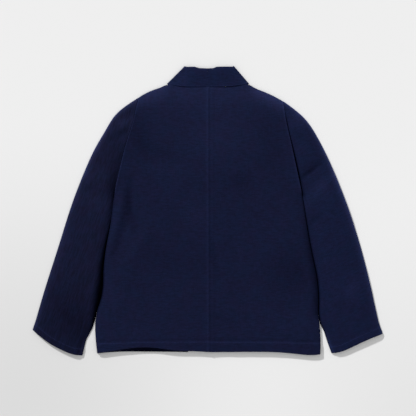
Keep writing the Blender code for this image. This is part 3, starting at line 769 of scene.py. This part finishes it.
        # painted shade in the hollow by the armhole, uneven along it
        armholeShade = (0.12 * hollow + 0.32 * bump(y - 80, 62)) * (1 + unevenness(plan, 22, 0.3, 33))
        paintedLightAndShade *= 1 - armholeShade * bump(fromSeam - 7, 14) * ease((y - 6) / 30)
    else:
        paintedLightAndShade *= (1 - 0.9 * creased * bump(fromUnder, 4)) * (1 - 0.12 * creased * bump(fromUnder, 14))
        paintedLightAndShade *= 1 - 0.7 * hollow * bump(fromSeam, 2.5 + 3 * ease((200 - y) / 120))
        paintedLightAndShade *= 1 - 0.8 * bump(y - 118, 40) * bump(fromSeam, 4)
    paintedLightAndShade *= 1 + 0.2 * bump(fromCuff - s["cuffDepth"] + 1, 2.2)
    paintedLightAndShade *= 1 + 0.5 * (1 - creased) * bump(fromUnder - 5, 2.5)
    piece = makeCloth(f"sleeve_{side}_cloth", outerGrid, withHeights(inPlan, zInner),
                      indigoCotton(f"indigoCottonSleeve{side.title()}", s["grainTurn"][side], s["tint"][side],
                                   s["slub"][side], s["thread"][side]),
                      f"sleeve_{side}", paintedLightAndShade, around=True)
    cuffStitch = lineAtDistance(outerGrid, fromCuff, s["cuffDepth"] - 1.6, range(7, upper.shape[1] - 8))
    stitches = stitchRun(f"sleeve_{side}_cuff_stitches", cuffStitch)


# Collar band: one doubled strip, in two halves with a seam at the centre back

collar = {
    "thickness": 1.5,
    "layers": 3.6,
    "lay": 0.5,
    "step": 3.0,
    "foot": {"left": (-106.5, 336.6), "right": (105.0, 337.6)},
    "head": {"left": (-58.8, 384.0), "right": (64.6, 384.4)},
    "lift": 1.4,  # the free edge stands this much above the CAD's
    "neckSeam": {"left": [(-0.805, 329.6), (-62.0, 329.8), (-88.0, 333.2)],
                 "right": [(-0.795, 329.6), (54.0, 329.8), (80.0, 333.4)]},
    "stitchIn": 3.2,
    "sink": 1.7,  # the band's lower corners lie lower, into the shoulder
    "edgeRound": 1.8,
    "tint": (1.05, 1.2, 1.18),
    "dip": (-6, 19, 10, 3.4),  # of the free edge at the middle: place, half width, soft run and depth
}

# as for the body
collarPaintedLight = [
    ("left end", -72, 360, 26, 40, 0, 0.25),
    ("right end", 86, 356, 16, 30, 30, 0.2),
    ("left foot", -100, 338, 10, 8, 0, 0.4),
    ("right foot", 101, 338, 9, 8, 0, 0.4),
]


def dressCollar(side):
    c = collar
    sign = sides[side]
    solid = Solid(f"collar_{side}")
    foot, head = np.array(c["foot"][side]), np.array(c["head"][side])
    inside, outside = (1, 0) if side == "left" else (0, 1)
    seam = np.array(c["neckSeam"][side] + [c["foot"][side]])
    sewn = softenLine(alongLine(seam, np.linspace(0, 1, 24)), 3)
    free = np.vstack([solid.edgeLine("x", seam[0][0] + sign, head[0] - 2 * sign, 1), head])
    free = np.vstack([(seam[0][0], free[0][1]), free])
    place, halfWidth, soft, depth = c["dip"]
    free[:, 1] += c["lift"] - depth * (1 - ease((np.abs(free[:, 0] - place) - halfWidth) / soft))
    hem = solid.points[:, 1].min()
    frontSewn = np.vstack([foot, solid.edgeLine("y", foot[1] - 8, hem + 2, outside)])
    frontFree = np.vstack([head, solid.edgeLine("y", foot[1] - 12, hem + 2, inside)])
    frontZ = c["layers"] / 2
    backZ = frontZ + c["layers"] + c["lay"]
    turn = (backZ - frontZ) / 2
    fold = head - foot
    out = np.array([sign * abs(fold[1]), abs(fold[0]), 0.0]) / np.linalg.norm(fold)
    up = np.array([0.0, 0.0, 1.0])
    backShares = stepShares(lineLength(sewn), c["step"], (0.0, 0.4, 1.2), ())
    rows = [(np.append(p, 0), np.append(q, 0), up * backZ, up)
            for p, q in zip(alongLine(sewn, backShares), alongLine(free, backShares))][:-1]
    for angle in np.linspace(0, math.pi, 13):
        facing = out * math.sin(angle) + up * math.cos(angle)
        rows.append((np.append(foot, 0), np.append(head, 0), up * (frontZ + turn) + facing * turn, facing))
    frontShares = stepShares(lineLength(frontSewn), 2 * c["step"], (0.0, 2.0), ())[1:]
    rows += [(np.append(p, 0), np.append(q, 0), up * frontZ, -up)
             for p, q in zip(alongLine(frontSewn, frontShares), alongLine(frontFree, frontShares))]
    rim = np.array([0.0, 0.15, 0.5, 1.1, 2.0, 3.2])
    outerGrid, innerGrid, fromFree = [], [], []
    for sewnAt, freeAt, lift, facing in rows:
        width = np.linalg.norm(freeAt - sewnAt)
        across = np.concatenate([np.linspace(0, width - rim[-1], 17), width - rim[-2::-1]])
        roundness = rounded(width - across, c["edgeRound"])
        stations = np.concatenate([across, across[-2::-1]])
        half = np.concatenate([roundness, -roundness[-2::-1]]) * c["layers"] / 2
        way = (freeAt - sewnAt) / width
        base = sewnAt + lift
        sunk = up * c["sink"] * bump(np.linalg.norm(sewnAt[:2] - foot), 26) * (lift[2] > 2 * c["lay"] + 2)
        base = base - sunk * (1 - stations[:, None] / width)
        outerGrid.append(base + stations[:, None] * way + half[:, None] * facing)
        fromFree.append(width - stations)
        inset = np.minimum(stations, width - c["thickness"])
        shallow = half * (1 - c["thickness"] / (c["layers"] / 2))
        innerGrid.append(base + inset[:, None] * way + shallow[:, None] * facing)
    outerGrid, innerGrid = np.array(outerGrid), np.array(innerGrid)
    # painted light and shade from the listed patches, and a painted highlight along the free edge
    paintedLightAndShade = paintedLightPatches(outerGrid[..., :2], collarPaintedLight) * (1 + 0.6 * np.exp(-np.array(fromFree) / 4))
    paintedLightAndShade[:3] *= 1 - 0.8 * np.exp(-np.array(fromFree[:3]) / 5)  # the ends that meet stay out of the light
    piece = makeCloth(f"collar_{side}_cloth", outerGrid, innerGrid,
                      indigoCotton(f"indigoCottonCollar{side.title()}", 0, c["tint"]), f"collar_{side}",
                      paintedLightAndShade)
    for face in piece.data.polygons:
        if all(abs(piece.data.vertices[v].co.x / mm - seam[0][0]) < 0.001 for v in face.vertices):
            face.use_smooth = False
    inward = outerGrid[1:, 1] - outerGrid[1:, 0]
    inward = inward / np.linalg.norm(inward, axis=1)[:, None]
    sewnLine = (outerGrid[1:, 0] + c["stitchIn"] * inward)[:len(backShares) - 3]
    stitches = stitchRun(f"collar_{side}_seam_stitches", sewnLine)


# Studio: a pale floor, painted a little darker towards its two lower corners, one low soft key from the upper
# left and much even fill

studio = {
    "floor": "#f1f1f1",
    "shadedFloor": "#dedede",
    "floorShadeAt": (((-0.52, -0.52), 0.8, 1.0), ((0.62, -0.62), 0.7, 0.55)),  # painted shade on the floor, darker towards its two lower corners: place, reach and share
    "backdrop": 0.86,
    "keyWay": (0.62, -0.79),  # the way the shadows fall
    "keyElevation": 22.0,
    "keyStrength": 3.3,
    "keySize": 3.5,  # degrees across, which gives shadows their soft rim
    "fill": 0.585,
    "centre": (-0.0005, 0.0106),
    "field": 1.1024,  # metres across the picture
    "lens": 90.0,
}


def buildStudio():
    st = studio
    scene = bpy.context.scene
    scene.view_settings.view_transform = "Standard"
    world = bpy.data.worlds.new("studioFill")
    scene.world = world
    world.use_nodes = True
    background = world.node_tree.nodes["Background"]
    background.inputs["Color"].default_value = (1, 1, 1, 1)
    seen = addNode(world.node_tree, "ShaderNodeLightPath").outputs["Is Camera Ray"]
    levels = {"To Min": st["fill"], "To Max": st["backdrop"]}
    strength = addNode(world.node_tree, "ShaderNodeMapRange", levels, Value=seen)
    world.node_tree.links.new(strength.outputs[0], background.inputs["Strength"])
    floorMesh = bpy.data.meshes.new("floor")
    farEdge = 30.0
    corners = [(farEdge * i, farEdge * j, 0) for i, j in ((-1, -1), (1, -1), (1, 1), (-1, 1))]
    floorMesh.from_pydata(corners, [], [(0, 1, 2, 3)])
    floor = bpy.data.objects.new("floor", floorMesh)
    scene.collection.objects.link(floor)
    paper = bpy.data.materials.new("paleBackdropPaper")
    paper.use_nodes = True
    tree = paper.node_tree
    place = addNode(tree, "ShaderNodeTexCoord").outputs["Object"]
    total = None
    for centre, reach, share in st["floorShadeAt"]:
        away = addNode(tree, "ShaderNodeVectorMath", {"operation": "DISTANCE"})
        tree.links.new(place, away.inputs[0])
        away.inputs[1].default_value = (*centre, 0)
        fading = {"interpolation_type": "SMOOTHSTEP", "From Min": reach, "From Max": 0.0, "To Max": share}
        floorShade = addNode(tree, "ShaderNodeMapRange", fading, Value=away.outputs["Value"])
        if total is None:
            total = floorShade.outputs[0]
        else:
            both = addNode(tree, "ShaderNodeMath", {"operation": "ADD"})
            tree.links.new(total, both.inputs[0])
            tree.links.new(floorShade.outputs[0], both.inputs[1])
            total = both.outputs[0]
    tone = addNode(tree, "ShaderNodeMix", {"data_type": "RGBA"})
    tree.links.new(total, tone.inputs["Factor"])
    for socket, colour in ((6, st["floor"]), (7, st["shadedFloor"])):
        tone.inputs[socket].default_value = toLinear(colour)
    shader = tree.nodes["Principled BSDF"]
    tree.links.new(tone.outputs[2], shader.inputs["Base Color"])
    shader.inputs["Roughness"].default_value = 0.95
    shader.inputs["Specular IOR Level"].default_value = 0.1
    floorMesh.materials.append(paper)
    keyLight = bpy.data.lights.new("key", "SUN")
    keyLight.energy = st["keyStrength"]
    keyLight.angle = math.radians(st["keySize"])
    key = bpy.data.objects.new("key", keyLight)
    lean = math.radians(st["keyElevation"])
    way = Vector((*st["keyWay"], 0)).normalized() * math.cos(lean) + Vector((0, 0, -math.sin(lean)))
    key.rotation_euler = way.to_track_quat("-Z", "Y").to_euler()
    key.location = -way * 3
    scene.collection.objects.link(key)
    cameraData = bpy.data.cameras.new("camera")
    cameraData.lens = st["lens"]
    camera = bpy.data.objects.new("camera", cameraData)
    distance = st["field"] / (cameraData.sensor_width / st["lens"])
    camera.location = (*st["centre"], distance)
    scene.collection.objects.link(camera)
    scene.camera = camera


for side in sides:
    dressFront(side)
    dressBack(side)
    dressSleeve(side)
    dressCollar(side)
    print(f"{side} half of the jacket dressed")
buildStudio()
print("studio built")
